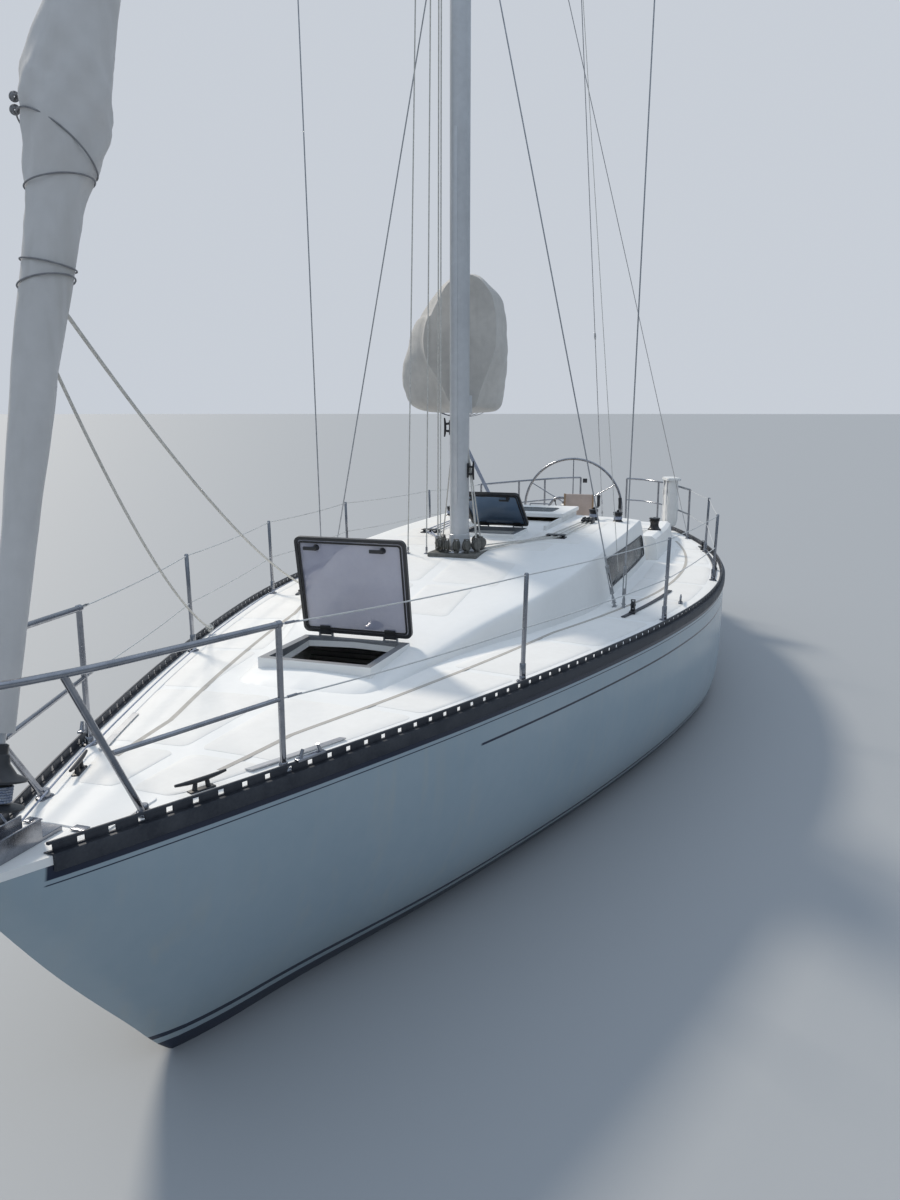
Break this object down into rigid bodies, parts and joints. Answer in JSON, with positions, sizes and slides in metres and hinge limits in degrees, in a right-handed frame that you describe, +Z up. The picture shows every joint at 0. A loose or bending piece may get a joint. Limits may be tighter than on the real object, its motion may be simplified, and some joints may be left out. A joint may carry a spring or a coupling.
{
  "type": "sailing yacht",
  "caption": "Sloop-rigged cruising yacht with fin keel, spade rudder, furled sails, open deck hatches, wheel steering and a boom that swings.",
  "frame": {"origin": "on the waterline amidships, on the centreline", "axes": "+X forward, +Y to port, +Z up"},
  "size_m": [11.67, 3.816, 18.67],
  "materials": {
    "gelcoat": "gloss",
    "deck_white": "matte non-slip and gloss edges",
    "keel_paint": "matte antifouling",
    "spar_alloy": "satin anodised",
    "steel": "polished",
    "sailcloth": "woven polyester",
    "rescue_cover": "coated cloth",
    "acrylic": "tinted acrylic",
    "black_fitting": "satin black",
    "bronze": "dull",
    "sole_wood": "varnished",
    "engine_paint": "satin"
  },
  "bodies": {
    "hull": {"hull_shell": "gelcoat", "shaft_log": "gelcoat", "deck": "deck_white", "coachroof": "deck_white", "cockpit": "deck_white", "steering_pedestal": "deck_white", "fin_keel": "keel_paint", "mast": "spar_alloy", "mast_step": "spar_alloy", "lower_spreader_port": "spar_alloy", "lower_spreader_stbd": "spar_alloy", "upper_spreader_port": "spar_alloy", "upper_spreader_stbd": "spar_alloy", "toe_rail_port": "spar_alloy", "toe_rail_stbd": "spar_alloy", "forestay": "spar_alloy", "pulpit": "steel", "pushpit_port": "steel", "pushpit_stbd": "steel", "stem_fitting": "steel", "cap_shroud_port": "steel", "cap_shroud_stbd": "steel", "lower_shroud_port": "steel", "lower_shroud_stbd": "steel", "backstay": "steel", "stanchion_port_1": "steel", "stanchion_port_2": "steel", "stanchion_port_3": "steel", "stanchion_port_4": "steel", "stanchion_stbd_1": "steel", "stanchion_stbd_2": "steel", "stanchion_stbd_3": "steel", "stanchion_stbd_4": "steel", "furled_genoa": "sailcloth", "rescue_bag": "rescue_cover", "window_port": "acrylic", "window_stbd": "acrylic", "washboards": "acrylic", "fore_hatch_frame": "black_fitting", "mid_hatch_frame": "black_fitting", "furling_drum": "black_fitting", "cabin_winch_inner_port": "black_fitting", "cabin_winch_outer_port": "black_fitting", "cabin_winch_inner_stbd": "black_fitting", "cabin_winch_outer_stbd": "black_fitting", "primary_winch_port": "black_fitting", "primary_winch_stbd": "black_fitting", "shaft_strut": "bronze", "cabin_sole": "sole_wood", "engine_block": "engine_paint"},
    "boom": {"boom": "spar_alloy", "mainsail_bundle": "sailcloth", "boom_vang": "spar_alloy"},
    "rudder": {"rudder": "keel_paint"},
    "steering_wheel": {"steering_wheel": "steel"},
    "propeller": {"propeller": "bronze"},
    "fore_hatch_lid": {"fore_hatch_lid": "acrylic"},
    "mid_hatch_lid": {"mid_hatch_lid": "acrylic"},
    "companionway_hatch": {"companionway_hatch": "deck_white"}
  },
  "joints": [
    {"name": "boom_swing", "type": "hinge", "parent": "hull", "child": "boom", "pos_m": [0.78, 0, 2.69], "axis": [0, 0, 1], "range_deg": [-72, 32]},
    {"name": "rudder_turn", "type": "hinge", "parent": "hull", "child": "rudder", "pos_m": [-4.75, 0, -0.5], "axis": [0, 0, 1], "range_deg": [-35, 35]},
    {"name": "wheel_turn", "type": "hinge", "parent": "hull", "child": "steering_wheel", "pos_m": [-3.48, 0, 1.488], "axis": [1, 0, 0], "range_deg": [-302, 302]},
    {"name": "propeller_spin", "type": "hinge", "parent": "hull", "child": "propeller", "pos_m": [-3.15, 0, -0.64], "axis": [0.9877, 0, 0.1564], "continuous": true},
    {"name": "fore_hatch", "type": "hinge", "parent": "hull", "child": "fore_hatch_lid", "pos_m": [2.854, 0, 1.346], "axis": [0, -1, 0], "range_deg": [-80, 20]},
    {"name": "mid_hatch", "type": "hinge", "parent": "hull", "child": "mid_hatch_lid", "pos_m": [-0.256, 0, 1.648], "axis": [0, -1, 0], "range_deg": [-38, 60]},
    {"name": "companionway_slide", "type": "slide", "parent": "hull", "child": "companionway_hatch", "axis": [1, 0, 0], "range_m": [0, 0.6]}
  ],
  "couplings": [
    {"joint": "wheel_turn", "follows": "rudder_turn", "ratio": 8.6}
  ]
}
